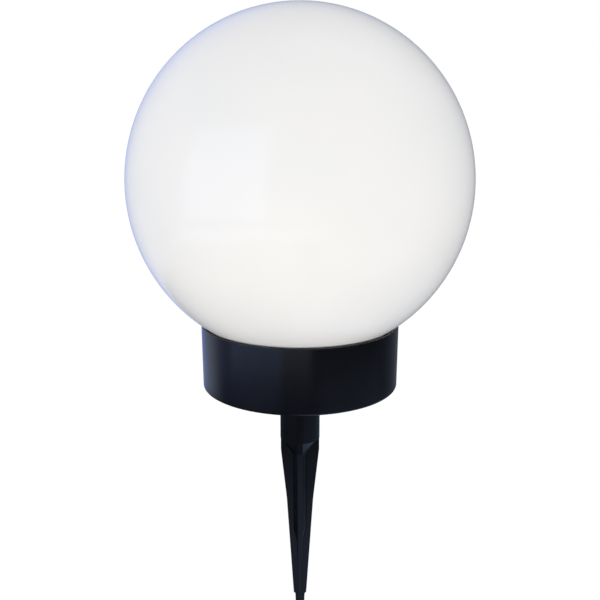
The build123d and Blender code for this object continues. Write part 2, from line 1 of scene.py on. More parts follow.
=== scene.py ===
import math
import bpy
import bmesh
import numpy as np
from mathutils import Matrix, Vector


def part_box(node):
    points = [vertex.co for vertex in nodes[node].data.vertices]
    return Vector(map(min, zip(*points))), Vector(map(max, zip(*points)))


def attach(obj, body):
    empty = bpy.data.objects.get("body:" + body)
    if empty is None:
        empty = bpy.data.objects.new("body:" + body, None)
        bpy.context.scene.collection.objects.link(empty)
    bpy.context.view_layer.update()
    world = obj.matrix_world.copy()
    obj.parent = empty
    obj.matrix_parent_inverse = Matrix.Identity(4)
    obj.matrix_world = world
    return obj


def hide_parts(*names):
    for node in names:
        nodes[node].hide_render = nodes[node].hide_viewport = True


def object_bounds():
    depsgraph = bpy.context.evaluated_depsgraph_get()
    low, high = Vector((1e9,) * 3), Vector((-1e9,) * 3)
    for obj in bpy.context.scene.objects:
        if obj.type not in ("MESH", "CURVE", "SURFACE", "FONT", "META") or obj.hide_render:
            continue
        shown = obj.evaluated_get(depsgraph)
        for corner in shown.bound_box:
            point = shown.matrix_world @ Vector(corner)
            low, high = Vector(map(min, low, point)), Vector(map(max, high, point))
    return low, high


# Solar garden lamp: opal globe, black moulded base, ground stake. Metres, same frame as the CAD.

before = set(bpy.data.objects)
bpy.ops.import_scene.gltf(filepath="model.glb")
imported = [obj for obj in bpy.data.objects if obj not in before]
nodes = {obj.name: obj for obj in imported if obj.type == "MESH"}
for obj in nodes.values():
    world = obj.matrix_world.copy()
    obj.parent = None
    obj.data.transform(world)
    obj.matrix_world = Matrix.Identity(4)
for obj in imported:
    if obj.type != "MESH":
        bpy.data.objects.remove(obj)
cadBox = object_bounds()
scene = bpy.context.scene
mm = 0.001
print("stage: frame loaded,", len(nodes), "nodes")


def linear(hexCode):
    # sRGB hex to linear RGB, by the two parts of the standard curve
    values = [int(hexCode[i:i + 2], 16) / 255 for i in (1, 3, 5)]
    return tuple(v / 12.92 if v <= 0.04045 else ((v + 0.055) / 1.055) ** 2.4 for v in values)


def outward(surface):
    # faces turned round where the signed volume, a sixth of the sum of corner products, is negative
    points, faces = surface
    fans = np.array([(face[0], face[i], face[i + 1]) for face in faces for i in range(1, len(face) - 1)])
    corners = points[fans]
    volume = np.einsum("ij,ij->i", corners[:, 0], np.cross(corners[:, 1], corners[:, 2])).sum()
    return surface if volume > 0 else (points, [face[::-1] for face in faces])


def meshObject(name, surface, smooth=40):
    # points in metres and faces as a smooth object, whose edges stay sharp above smooth degrees
    points, faces = outward(surface)
    mesh = bpy.data.meshes.new(name)
    mesh.from_pydata(points.tolist(), [], faces)
    mesh.shade_smooth()
    mesh.set_sharp_from_angle(angle=math.radians(smooth))
    made = bpy.data.objects.new(name, mesh)
    scene.collection.objects.link(made)
    return made


def closedGrid(rings, topPole=None, bottomPole=None):
    # rings: array (rows, columns, 3), closed round its columns; a pole point closes each end
    rows, columns = rings.shape[:2]
    points = rings.reshape(-1, 3)
    this = np.arange(columns)
    after = (this + 1) % columns
    start = np.arange(rows - 1)[:, None] * columns
    quads = np.stack([start + this, start + columns + this, start + columns + after, start + after], -1)
    faces = quads.reshape(-1, 4).tolist()
    last = (rows - 1) * columns
    for pole, corners in ((topPole, (this, after)), (bottomPole, (last + after, last + this))):
        if pole is not None:
            points = np.vstack([points, pole])
            faces += np.stack([np.full(columns, len(points) - 1), *corners], -1).tolist()
    return points, faces


def fullTurn(count):
    # even angles round a full turn, as one row
    return np.linspace(0, 2 * np.pi, count, endpoint=False)[None, :]


def swept(radius, angle, height):
    # a point for every row and column: x = radius cos angle, y = radius sin angle, z = height
    radius, angle, height = np.broadcast_arrays(radius, angle, height)
    return np.stack([radius * np.cos(angle), radius * np.sin(angle), height], -1)


def turned(profile, count=48):
    # closed turned surface about Z: the profile (r, z) starts and ends on the axis
    radius, height = np.asarray(profile[1:-1], float).T[:, :, None]
    top, bottom = ((0, 0, profile[end][1]) for end in (0, -1))
    return closedGrid(swept(radius, fullTurn(count), height), top, bottom)


def merged(surfaces):
    # several closed surfaces as one, each facing outwards: face numbers move up by the points before them
    surfaces = [outward(surface) for surface in surfaces]
    starts = np.cumsum([0] + [len(points) for points, _ in surfaces]).tolist()
    faces = [[corner + start for corner in face]
             for start, (_, part) in zip(starts, surfaces) for face in part]
    return np.vstack([points for points, _ in surfaces]), faces


def turnMatrix(angle):
    # for row vectors: turns points by the angle about Z
    c, s = math.cos(angle), math.sin(angle)
    return np.array([[c, s, 0], [-s, c, 0], [0, 0, 1]])


def placed(surface, places, flip=False):
    # the surface at every place; flip turns it half round X first, so that what pointed up points down
    points, faces = surface
    points = points * (1, -1, -1) if flip else points
    return merged([(points + np.asarray(place, float), faces) for place in places])


def tube(path, radius, across, columns=14):
    # a circle carried along the path: its plane holds the vector across, made square to the path
    way = np.gradient(path, axis=0)
    way /= np.linalg.norm(way, axis=1, keepdims=True)
    side = np.cross(way, across)
    side /= np.linalg.norm(side, axis=1, keepdims=True)
    up = np.cross(way, side)
    angle = fullTurn(columns)[..., None]
    rings = path[:, None] + radius * (np.cos(angle) * side[:, None] + np.sin(angle) * up[:, None])
    return closedGrid(rings, path[0], path[-1])


def softened(corners, times=4):
    # corner cutting: every stretch keeps its points at a quarter and three quarters, the two ends stay
    path = np.asarray(corners, float)
    for _ in range(times):
        first, second = path[:-1], path[1:]
        cut = np.stack([0.75 * first + 0.25 * second, 0.25 * first + 0.75 * second], 1).reshape(-1, 3)
        path = np.vstack([path[:1], cut, path[-1:]])
    return path


def prism(outline, low, high, axis=1):
    # flat outline (two coordinates) carried from low to high along the axis left out
    outline = np.asarray(outline, float)
    count = len(outline)
    points = np.vstack([np.insert(outline, axis, level, axis=1) for level in (low, high)])
    this = np.arange(count)
    after = (this + 1) % count
    sides = np.stack([this, after, after + count, this + count], -1).tolist()
    return points, sides + [this[::-1].tolist(), (this + count).tolist()]


def boxOf(node):
    # a CAD node's lowest corner, highest corner and middle, in millimetres
    low, high = (np.array(corner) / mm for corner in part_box(node))
    return low, high, (low + high) / 2


def finishPiece(name, surface, body, slot, finish, *replaced, smooth=40):
    # a surface in millimetres becomes a piece that rides a body, in place of the CAD nodes named last
    points, faces = surface
    piece = meshObject(name, (points * mm, faces), smooth)
    piece.data.materials.append(materials[finish])
    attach(piece, body)
    if replaced:
        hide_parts(*replaced)
    return piece


def bevelled(piece, width):
    # every edge rounded in two steps, width in millimetres
    edge = piece.modifiers.new("edge", "BEVEL")
    edge.width, edge.segments = width * mm, 2


def addNode(tree, kind, settings=None, links=None):
    # one node: settings go to its properties or input sockets, links name the source of an input
    node = tree.nodes.new(kind)
    for key, value in (settings or {}).items():
        if isinstance(key, str) and hasattr(node, key):
            setattr(node, key, value)
        else:
            node.inputs[key].default_value = value
    for socket, source in (links or {}).items():
        tree.links.new(source, node.inputs[socket])
    return node


def newMaterial(name, colour, roughness, **sockets):
    # a Principled material, with its tree, shader and Object coordinates; _ stands for a space in a socket
    material = bpy.data.materials.new(name)
    material.use_nodes = True
    tree = material.node_tree
    shader = tree.nodes["Principled BSDF"]
    for socket, value in {"Base Color": (*linear(colour), 1), "Roughness": roughness, **sockets}.items():
        shader.inputs[socket.replace("_", " ")].default_value = value
    return material, tree, shader, addNode(tree, "ShaderNodeTexCoord").outputs["Object"]


def noise(tree, place, grain, detail=3.0):
    # noise whose features are about grain millimetres apart
    settings = {"Scale": 1 / (grain * mm), "Detail": detail}
    return addNode(tree, "ShaderNodeTexNoise", settings, {"Vector": place}).outputs["Fac"]


def axes(tree, place):
    # the sockets X, Y and Z of a place
    return addNode(tree, "ShaderNodeSeparateXYZ", links={"Vector": place}).outputs


def ramp(tree, value, *stops):
    # value between 0 and 1 to a number or a colour; stops are (position, number or hex)
    made = addNode(tree, "ShaderNodeValToRGB", links={"Fac": value})
    elements = made.color_ramp.elements
    while len(elements) < len(stops):
        elements.new(0.5)
    for element, (position, stop) in zip(elements, stops):
        element.position = position
        element.color = (*linear(stop), 1) if isinstance(stop, str) else (stop, stop, stop, 1)
    return made.outputs["Color"]


def mapped(tree, value, start, end, low=0.0, high=1.0, curve="LINEAR"):
    # start to end becomes low to high, and the ends hold beyond
    ends = {"From Min": start, "From Max": end, "To Min": low, "To Max": high, "interpolation_type": curve}
    return addNode(tree, "ShaderNodeMapRange", ends, {"Value": value}).outputs["Result"]


def colourBy(tree, shader, value, *stops):
    # base colour from a value through a ramp
    tree.links.new(ramp(tree, value, *stops), shader.inputs["Base Color"])


def roughnessBy(tree, shader, value, low, high):
    # roughness from a value between 0 and 1
    tree.links.new(mapped(tree, value, 0.0, 1.0, low, high), shader.inputs["Roughness"])


def bumpBy(tree, shader, height, depth):
    # relief: height 1 stands depth millimetres proud
    made = addNode(tree, "ShaderNodeBump", {"Strength": 1.0, "Distance": depth * mm}, {"Height": height})
    tree.links.new(made.outputs["Normal"], shader.inputs["Normal"])


def arithmetic(tree, operation, first, *others):
    # sockets or numbers through one Math node, or through a chain where there are more than two
    for other in others or (None,):
        node = addNode(tree, "ShaderNodeMath", {"operation": operation})
        for index, value in enumerate((first, other)):
            if isinstance(value, (int, float)):
                node.inputs[index].default_value = value
            elif value is not None:
                tree.links.new(value, node.inputs[index])
        first = node.outputs["Value"]
    return first


def hypotenuse(tree, first, second):
    # root of the sum of two squares
    squares = [arithmetic(tree, "MULTIPLY", side, side) for side in (first, second)]
    return arithmetic(tree, "SQRT", arithmetic(tree, "ADD", *squares))


def mixed(tree, share, first, second):
    # colour between two colours, each a socket or linear numbers
    mix = addNode(tree, "ShaderNodeMix", {"data_type": "RGBA"}, {"Factor": share})
    for socket, colour in zip([s for s in mix.inputs if s.type == "RGBA"], (first, second)):
        if isinstance(colour, tuple):
            socket.default_value = (*colour, 1)
        else:
            tree.links.new(colour, socket)
    return [s for s in mix.outputs if s.type == "RGBA"][0]


def makeOpal():
    # Opal polyethylene, blow moulded: milky and glossy, with a faint long waviness and a moulding line
    values = {"colour": "#F8F8F9", "dim": "#F4F5F7", "rough": (0.06, 0.1), "cloudSize": 70, "smearSize": 12,
              "waveSize": 45, "waveDepth": 0.12, "scatter": (0.004, 0.004, 0.0045), "scatterShare": 0.12,
              "lineHalf": 0.3, "lineShare": 0.12}
    material, tree, shader, place = newMaterial(
        "blowMouldedOpal", values["colour"], values["rough"][0], IOR=1.48, Subsurface_Scale=1.0,
        Subsurface_Weight=values["scatterShare"], Subsurface_Radius=values["scatter"])
    cloud = noise(tree, place, values["cloudSize"], 2.0)
    colourBy(tree, shader, cloud, (0.35, values["dim"]), (0.65, values["colour"]))
    roughnessBy(tree, shader, noise(tree, place, values["smearSize"]), *values["rough"])
    # the mould halves meet in the plane y = 0: a line falling off over 0.3 mm at both sides, 0.015 mm high
    away = arithmetic(tree, "ABSOLUTE", axes(tree, place)["Y"])
    line = mapped(tree, away, 0.0, values["lineHalf"] * mm, values["lineShare"], 0.0)
    wave = noise(tree, place, values["waveSize"], 1.0)
    bumpBy(tree, shader, arithmetic(tree, "ADD", line, wave), values["waveDepth"])
    return material


def grained(name, dark, light, rough, cloud, relief=None, stops=(0.3, 0.7), **sockets):
    # Two shades between two stops of a noise, (grain in mm, detail), one roughness or two over the same
    # noise, and a relief, (grain in mm, detail, depth in mm)
    low, high = rough if isinstance(rough, tuple) else (rough, rough)
    material, tree, shader, place = newMaterial(name, light, low, **sockets)
    shade = noise(tree, place, *cloud)
    colourBy(tree, shader, shade, *zip(stops, (dark, light)))
    if high > low:
        roughnessBy(tree, shader, shade, low, high)
    if relief:
        grain, detail, depth = relief
        bumpBy(tree, shader, noise(tree, place, grain, detail), depth)
    return material


def plated(name, dark, light, rough, grain=1.2):
    # Plated or drawn metal: even and bright, slightly cloudy
    return grained(name, dark, light, rough, cloud=(grain, 3), relief=(0.25, 3, 0.004), Metallic=1.0)


def makeBoard():
    # Glass-epoxy board with green solder mask: glossy over the weave, with paler copper tracks under the mask
    values = {"pitch": 2.54, "trackShare": 0.32, "patchSize": 14, "patchOver": 0.52, "weaveSize": 0.6,
              "weaveShare": 0.3, "depth": 0.035}
    material, tree, shader, place = newMaterial("solderMaskedBoard", "#12482A", 0.28, IOR=1.55)
    # tracks 0.8 mm wide on a 2.54 mm pitch, broken up by a coarse noise
    phase = arithmetic(tree, "MULTIPLY", axes(tree, place)["Y"], 1 / (values["pitch"] * mm))
    stripe = arithmetic(tree, "LESS_THAN", arithmetic(tree, "FRACT", phase), values["trackShare"])
    cloud = noise(tree, place, values["patchSize"], 0.0)
    track = arithmetic(tree, "MULTIPLY", stripe, arithmetic(tree, "GREATER_THAN", cloud, values["patchOver"]))
    colourBy(tree, shader, track, (0.4, "#0F4026"), (0.6, "#1F6B3C"))
    weave = arithmetic(tree, "MULTIPLY", noise(tree, place, values["weaveSize"], 2.0), values["weaveShare"])
    bumpBy(tree, shader, arithmetic(tree, "ADD", weave, track), values["depth"])
    return material


def makeSilicon():
    # Multicrystalline silicon, antireflection coated and screen printed: dark blue crystals, silver fingers
    # every 2 mm across the four strips, and one broader bar down the middle of every strip
    values = {"crystal": 5, "pitch": 2, "finger": 0.2, "bar": 1.2, "strips": 4, "gap": 0.7, "depth": 0.02}
    material, tree, shader, place = newMaterial("printedSilicon", "#101B3C", 0.25, IOR=2.2)
    crystals = addNode(tree, "ShaderNodeTexVoronoi", {"Scale": 1 / (values["crystal"] * mm)},
                       {"Vector": place}).outputs
    tone = addNode(tree, "ShaderNodeSeparateColor", links={"Color": crystals["Color"]}).outputs["Red"]
    blue = ramp(tree, tone, (0.1, "#0B1430"), (0.9, "#1B2E63"))
    split = axes(tree, place)
    phase = arithmetic(tree, "FRACT", arithmetic(tree, "MULTIPLY", split["Y"], 1 / (values["pitch"] * mm)))
    finger = arithmetic(tree, "LESS_THAN", phase, values["finger"] / values["pitch"])
    low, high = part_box("solar_cell")
    strip = (high.x - low.x + values["gap"] * mm) / values["strips"]
    middle = 0.5 - values["gap"] * mm / 2 / strip
    along = arithmetic(tree, "MULTIPLY", arithmetic(tree, "SUBTRACT", split["X"], low.x), 1 / strip)
    along = arithmetic(tree, "FRACT", along)
    away = arithmetic(tree, "ABSOLUTE", arithmetic(tree, "SUBTRACT", along, middle))
    bar = arithmetic(tree, "LESS_THAN", away, values["bar"] * mm / 2 / strip)
    silver = arithmetic(tree, "MAXIMUM", finger, bar)
    tree.links.new(mixed(tree, silver, blue, linear("#A9AEB4")), shader.inputs["Base Color"])
    bumpBy(tree, shader, silver, values["depth"])
    return material


def castClear(name, colour, roughness, relief, **sockets):
    # Clear epoxy: glassy, with faint ripples, (grain in mm, detail, depth in mm). An alpha under 1 lets the
    # light in to what it covers.
    material, tree, shader, place = newMaterial(name, colour, roughness, **sockets)
    grain, detail, depth = relief
    bumpBy(tree, shader, noise(tree, place, grain, detail), depth)
    return material


def makeLeadVinyl():
    # Soft vinyl, extruded over the wire: satin; the lead towards +X is red, the other one black
    values = {"cloudSize": 3, "cloudTone": 0.3, "redTone": 0.6, "grainSize": 0.5, "grainDepth": 0.015}
    material, tree, shader, place = newMaterial("extrudedLeadVinyl", "#8C1D18", 0.4, IOR=1.53)
    # tone: 0 to 0.3 on the black lead, 0.6 to 0.9 on the red one, cloudy within
    shade = arithmetic(tree, "MULTIPLY", noise(tree, place, values["cloudSize"]), values["cloudTone"])
    red = arithmetic(tree, "GREATER_THAN", axes(tree, place)["X"], 0.0)
    red = arithmetic(tree, "MULTIPLY", red, values["redTone"])
    colourBy(tree, shader, arithmetic(tree, "ADD", red, shade), (0.05, "#161616"), (0.3, "#202020"),
             (0.62, "#7A1612"), (0.88, "#98231C"))
    bumpBy(tree, shader, noise(tree, place, values["grainSize"], 2.0), values["grainDepth"])
    return material


def makeBatteryWrap():
    # AA cell: green shrunk sleeve with a pale band, and bare nickelled can near the axis at both ends
    values = {"nub": 1.3, "band": 8, "bareRadius": 5.9, "foldSize": 5, "foldDepth": 0.05, "bandTone": 0.3,
              "bareTone": 0.6}
    material, tree, shader, place = newMaterial("shrunkBatterySleeve", "#2E7D4A", 0.28, IOR=1.53)
    low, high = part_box("battery")
    split = axes(tree, place)
    across, above = (arithmetic(tree, "SUBTRACT", split[axis], middle)
                     for axis, middle in (("Y", (low.y + high.y) / 2), ("Z", (low.z + high.z) / 2)))
    bare = arithmetic(tree, "LESS_THAN", hypotenuse(tree, across, above), values["bareRadius"] * mm)
    band = arithmetic(tree, "GREATER_THAN", split["X"], high.x - (values["nub"] + values["band"]) * mm)
    # tone: 0 on the sleeve, 0.3 on its band, 0.6 and more on bare metal
    tone = arithmetic(tree, "ADD", arithmetic(tree, "MULTIPLY", bare, values["bareTone"]),
                      arithmetic(tree, "MULTIPLY", band, values["bandTone"]))
    colourBy(tree, shader, tone, (0.1, "#2A7444"), (0.2, "#2A7444"), (0.25, "#D9DCD4"), (0.5, "#D9DCD4"),
             (0.6, "#BFC0BE"))
    tree.links.new(bare, shader.inputs["Metallic"])
    bumpBy(tree, shader, noise(tree, place, values["foldSize"], 2.0), values["foldDepth"])
    return material


materials = {
    "opal": makeOpal(),
    # Black ABS, injection moulded in a spark-eroded tool: satin, faint flow shades, even grain. The real
    # grain is about 0.15 mm across, drawn coarser so that it shows.
    "base": grained("mouldedBlackAbs", "#0A0B10", "#0D0E14", (0.15, 0.2), cloud=(22, 2),
                    relief=(0.35, 2, 0.008), IOR=1.5),
    "stake": grained("mouldedStakeAbs", "#090A0E", "#0C0D12", (0.2, 0.26), cloud=(22, 2),
                     relief=(0.35, 2, 0.008), IOR=1.5),
    # White ABS, injection moulded: satin, slightly warm
    "white": grained("mouldedWhiteAbs", "#E6E6E0", "#F1F1EC", 0.4, cloud=(25, 3),
                     relief=(0.5, 2, 0.015), IOR=1.5),
    # Black EPDM rubber, cut from sheet: matt, slightly dusty
    "rubber": grained("cutEpdmRubber", "#111111", "#1D1D1C", 0.75, cloud=(3, 3),
                      relief=(0.4, 3, 0.03), stops=(0.3, 0.75), IOR=1.52),
    "screw": plated("zincPlatedSteel", "#A9ABA9", "#C3C4C2", (0.25, 0.4)),
    "nickel": plated("nickelPlatedSteel", "#B2AEA4", "#C9C5BB", (0.2, 0.32)),
    "tin": plated("tinnedSteel", "#9DA0A2", "#B9BBBC", (0.35, 0.5)),
    "board": makeBoard(),
    "silicon": makeSilicon(),
    # Poured over the cell, and cast round the lamps' frames
    "epoxy": castClear("pouredClearEpoxy", "#F2F5F5", 0.05, (9, 1, 0.02), IOR=1.5, Alpha=0.3,
                       Transmission_Weight=0.95),
    "resin": castClear("castLampResin", "#F6F7F4", 0.06, (1.5, 3, 0.008), IOR=1.53, Alpha=0.7,
                       Transmission_Weight=0.92),
    # Black epoxy moulding compound: dull, with a fine grain
    "package": grained("mouldedPackage", "#151517", "#202023", 0.55, cloud=(2, 3),
                       relief=(0.2, 3, 0.01), IOR=1.55),
    # Sintered ferrite: dark grey, dull, slightly pitted
    "ferrite": grained("sinteredFerrite", "#2B2B2E", "#414145", 0.6, cloud=(0.5, 3),
                       relief=(0.5, 3, 0.03), IOR=2.0),
    # Enamelled copper wire, wound: bright reddish brown, with darker patches over a fine noise as painted
    # shade for the gaps between turns
    "copper": grained("enamelledCopperWire", "#9C5230", "#C07345", 0.28, cloud=(0.7, 3), Metallic=1.0,
                      Coat_Weight=0.5),
    # Vinyl sleeve, shrunk over the can: glossy, with slight folds
    "sleeve": grained("shrunkCapacitorSleeve", "#141D38", "#1C2749", 0.3, cloud=(6, 3),
                      relief=(4, 2, 0.05), IOR=1.53),
    "battery": makeBatteryWrap(),
    "lead": makeLeadVinyl(),
    # Yellow phosphor in silicone, dropped into the lamp's cup: dull and grainy
    "phosphor": grained("castPhosphor", "#CDB42F", "#E2CE52", 0.6, cloud=(0.25, 3),
                        relief=(0.2, 3, 0.01), IOR=1.41),
    "aluminium": plated("drawnAluminium", "#BFC1C4", "#D5D6D8", (0.3, 0.42)),
    "solder": plated("meltedTinSolder", "#A6A9AD", "#C6C8CA", (0.18, 0.34), grain=0.6),
}
print("stage: materials made,", len(materials))

cadFinish = {
    "opal": ("globe",), "base": ("base_shell", "bayonet_ring", "battery_door"), "stake": ("stake",),
    "white": ("module_housing",), "rubber": ("globe_gasket", "door_gasket"), "silicon": ("solar_cell",),
    "board": ("circuit_board", "cell_backing"), "epoxy": ("cell_window",), "resin": ("leds",),
    "package": ("controller_chip", "switch_slider"), "ferrite": ("inductor",), "sleeve": ("capacitor",),
    "battery": ("battery",), "nickel": ("battery_spring", "battery_contacts", "switch_terminals"),
    "tin": ("switch_body",), "screw": ("deck_screws", "board_screws", "door_screws", "switch_screws"),
    "lead": ("battery_leads", "switch_leads", "cell_leads"),
}
for finish, names in cadFinish.items():
    for name in names:
        for slot in nodes[name].material_slots:
            slot.material = materials[finish]


globeValues = {"radius": 100.0, "wall": 2.0, "neck": 50.6, "neckRound": 0.6, "tail": 2.5, "lugs": 3,
               "lugHeight": 3.1, "lugReach": 4.1, "lugArc": 24.0, "lugRound": 0.4, "sideSlope": 0.05,
               "sideArc": 0.15, "columns": 288, "rows": 120}


def arc(radius, centre, start, end, count):
    # points (r, z, push) on a circle about (0, centre), angles from +Z, not pushed
    angle = np.linspace(start, end, count)
    return np.stack([radius * np.sin(angle), centre + radius * np.cos(angle), 0 * angle], -1)


def makeGlobe(v):
    # The half section (r, z) runs over the outer sphere, down the neck, back up inside and over the inner
    # sphere, and is carried round Z. Its third number is how far the lugs' sectors push that row out.
    low, high, _ = boxOf("globe")
    bottom, centre = low[2], high[2] - v["radius"]
    lugBottom, lugTop = bottom + v["tail"], bottom + v["tail"] + v["lugHeight"]
    inner, neckInside = v["radius"] - v["wall"], v["neck"] - v["wall"]
    outerEnd, innerEnd = (math.pi - math.asin(neck / sphere)
                          for neck, sphere in ((v["neck"], v["radius"]), (neckInside, inner)))
    outer = arc(v["radius"], centre, 0, outerEnd, v["rows"])
    back = arc(inner, centre, innerEnd, 0, v["rows"])
    rounded, full, slope = v["lugRound"], v["lugReach"], v["sideSlope"]
    lug = [(lugTop + slope, 0), (lugTop, full - rounded), (lugTop - rounded, full),
           (lugBottom + rounded, full), (lugBottom, full - rounded), (lugBottom - slope, 0)]
    neck = [(v["neck"], z, push) for z, push in lug]
    edge = v["neckRound"]
    foot = [(v["neck"], bottom + edge, 0), (v["neck"] - edge, bottom, 0),
            (neckInside + edge, bottom, 0), (neckInside, bottom + edge, 0)]
    profile = np.vstack([outer[1:], neck, foot, back[:-1]])
    # columns: even round the globe, with one more just inside and outside each side of each lug
    sector, half, beside = 360 / v["lugs"], v["lugArc"] / 2, v["sideArc"]
    sides = [n * sector + s * half + d for n in range(v["lugs"]) for s in (-1, 1) for d in (-beside, beside)]
    even = np.arange(0, 360, 360 / v["columns"])
    degrees = np.unique(np.round(np.concatenate([even, np.mod(sides, 360)]), 4))
    inLug = np.abs((degrees + sector / 2) % sector - sector / 2) < half
    radius = profile[:, :1] + profile[:, 2:] * inLug
    rings = swept(radius, np.radians(degrees), profile[:, 1:2])
    return closedGrid(rings, (0, 0, centre + v["radius"]), (0, 0, centre + inner))


finishPiece("globeShell", makeGlobe(globeValues), "globe", "opal_plastic", "opal", "globe", smooth=35)
print("stage: globe made")


deckScrew = {"length": 9.0, "head": 2.4, "side": 0.8, "crown": 0.8, "edge": 0.12, "shank": 1.2, "plain": 0.3,
             "pitch": 0.8, "depth": 0.24, "tip": 1.2, "tipShare": 0.25, "slot": 0.75, "reach": 1.35,
             "deep": 1.0, "slope": 0.12, "inner": 0.08, "apron": 0.15, "rimStep": 0.1, "point": 0.01,
             "columns": 96, "recessRows": 20, "rimRows": 6, "turnRows": 8}
boardScrew = {**deckScrew, "length": 5.5}
doorScrew = {**deckScrew, "side": 0.0, "crown": 0.0, "deep": 0.85}
switchScrew = {**doorScrew, "length": 3.6, "head": 1.9, "shank": 1.0, "pitch": 0.6, "slot": 0.6,
               "reach": 1.05, "deep": 0.65}
deckScrewAngles = (30, 150, 270)


def crossRecess(x, y, v):
    # depth of a cross: full where the nearer axis is less than half a slot away and the end of the arm
    # is further out, falling off over slope millimetres at the walls
    near, far = np.minimum(np.abs(x), np.abs(y)), np.maximum(np.abs(x), np.abs(y))
    sides, ends = ((v["slot"] / 2 - near) / v["slope"] + 0.5, (v["reach"] - far) / v["slope"] + 0.5)
    return v["deep"] * np.clip(sides, 0, 1) * np.clip(ends, 0, 1)


def ridges(height, angle, pitch):
    # 0 to 1 and back over every pitch of a helix: a triangle of height / pitch less the share of the turn
    phase = height / pitch - angle / (2 * np.pi)
    return 1 - np.abs(2 * (phase - np.floor(phase)) - 1)


def screwSurface(v):
    # Head up, the underside of a pan head at height 0, the face of a countersunk one at height 0. Rows run
    # from the crown's middle outwards (height falls with the cube of the radius, less the recess), closer
    # together over the recess than on the rim, round the head and down the thread, whose radius follows
    # the ridges and shrinks at the tip.
    angle = fullTurn(v["columns"])
    top, length, apron = v["side"] + v["crown"], v["length"], v["reach"] + v["apron"]
    radii = np.concatenate([np.linspace(v["inner"], apron, v["recessRows"]),
                            np.linspace(apron + v["rimStep"], v["head"], v["rimRows"])])
    radii = radii[:, None] + 0 * angle
    crown = top - v["crown"] * (radii / v["head"]) ** 3
    crown -= crossRecess(radii * np.cos(angle), radii * np.sin(angle), v)
    if v["side"]:
        under = [(v["head"], v["edge"]), (v["head"] - v["edge"], 0.0), (v["shank"], 0.0)]
    else:
        under = [(v["shank"], v["shank"] - v["head"])]
    under = np.array(under)[:, :, None] + 0 * angle
    start = under[-1, 1, 0] - v["plain"]
    levels = np.linspace(start, -length, int((start + length) / v["pitch"] * v["turnRows"]))[:, None]
    thread = v["shank"] - v["depth"] * (1 - ridges(levels, angle, v["pitch"]))
    thread = thread * np.clip(v["tipShare"] + (levels + length) / v["tip"], 0, 1)
    radius = np.vstack([radii, under[:, 0], thread])
    height = np.vstack([crown, under[:, 1], levels + 0 * angle])
    poles = (0, 0, top - v["deep"]), (0, 0, -length - v["point"])
    return closedGrid(swept(radius, angle, height), *poles)


def makeScrews():
    # three deck screws in a ring; the others stand in rows, heads down
    low, high, _ = boxOf("deck_screws")
    circle, level = -low[1] - deckScrew["head"], high[2] - deckScrew["side"] - deckScrew["crown"]
    ring = [(circle * math.cos(a), circle * math.sin(a), level) for a in np.radians(deckScrewAngles)]
    finishPiece("deckScrews", placed(screwSurface(deckScrew), ring), "base", "screw_steel", "screw",
                "deck_screws", smooth=30)
    for node, v, body, rows in (("board_screws", boardScrew, "base", (-1, 1)),
                                ("door_screws", doorScrew, "door", (0,)),
                                ("switch_screws", switchScrew, "base", (0,))):
        low, high, middle = boxOf(node)
        reach, level = high[0] - v["head"], low[2] + v["side"] + v["crown"]
        places = [(x, middle[1] + row * reach, level) for x in (-reach, reach) for row in rows]
        finishPiece(node.split("_")[0] + "Screws", placed(screwSurface(v), places, flip=True), body,
                    "screw_steel", "screw", node, smooth=30)


makeScrews()
print("stage: screws made")


# end: (r, depth) of the bare end and the sleeve's rolled edge; crimp: (way below the top, depth)
batteryValues = {"radius": 7.25, "nub": 2.75, "nubLength": 1.3, "nubFoot": 0.3,
                 "nubEdge": ((0, 0.3), (0.1, 0.1), (0.4, 0)),
                 "end": ((5.6, 0.15), (5.8, 0.1), (6.0, 0.0), (6.7, 0.0), (7.05, 0.12), (7.25, 0.5)),
                 "crimp": ((3.4, 0.0), (3.1, 0.06), (2.8, 0.28), (2.5, 0.28), (2.2, 0.06), (1.9, 0.0)),
                 "columns": 72}


def makeBattery(v):
    # Turned about X: bare foot, shrunk sleeve rolled over both ends, a crimp near the top, and the nub.
    low, high, middle = boxOf("battery")
    total, sunk = high[0] - low[0], v["end"][0][1]
    top = total - v["nubLength"]
    profile = [(0, sunk), *v["end"]]
    profile += [(v["radius"] - deep, top - down) for down, deep in v["crimp"]]
    profile += [(r, top - deep) for r, deep in reversed(v["end"])]
    profile += [(v["nub"] + v["nubFoot"], top - sunk), (v["nub"], top)]
    profile += [(v["nub"] - inwards, total - down) for inwards, down in v["nubEdge"]] + [(0, total)]
    points, faces = turned(profile, v["columns"])
    points = points[:, [2, 1, 0]] + (low[0], middle[1], middle[2])
    finishPiece("batteryCell", (points, faces), "base", "battery_wrap", "battery", "battery", smooth=50)


springValues = {"wire": 0.4, "wide": 4.4, "narrow": 2.9, "turns": 3.5, "flatEnds": 0.12, "rows": 260}


def makeSpring(v):
    # Conical helix about X: the radius shrinks evenly, and x rises by a smooth step whose ends lie flat.
    low, high, _ = boxOf("battery_spring")
    cell = boxOf("battery")[2]
    share = np.linspace(0, 1, v["rows"])
    rise = np.clip((share - v["flatEnds"]) / (1 - 2 * v["flatEnds"]), 0, 1)
    radius = v["wide"] + (v["narrow"] - v["wide"]) * share
    turn = 2 * np.pi * v["turns"] * share
    start, end = low[0] + v["wire"], high[0] - v["wire"]
    path = np.stack([start + (end - start) * rise, cell[1] + radius * np.cos(turn),
                     cell[2] + radius * np.sin(turn)], 1)
    coil = tube(path, v["wire"], (1, 0, 0))
    finishPiece("contactSpring", coil, "base", "spring_steel", "nickel", "battery_spring")


makeBattery(batteryValues)
makeSpring(springValues)
print("stage: battery and spring made")


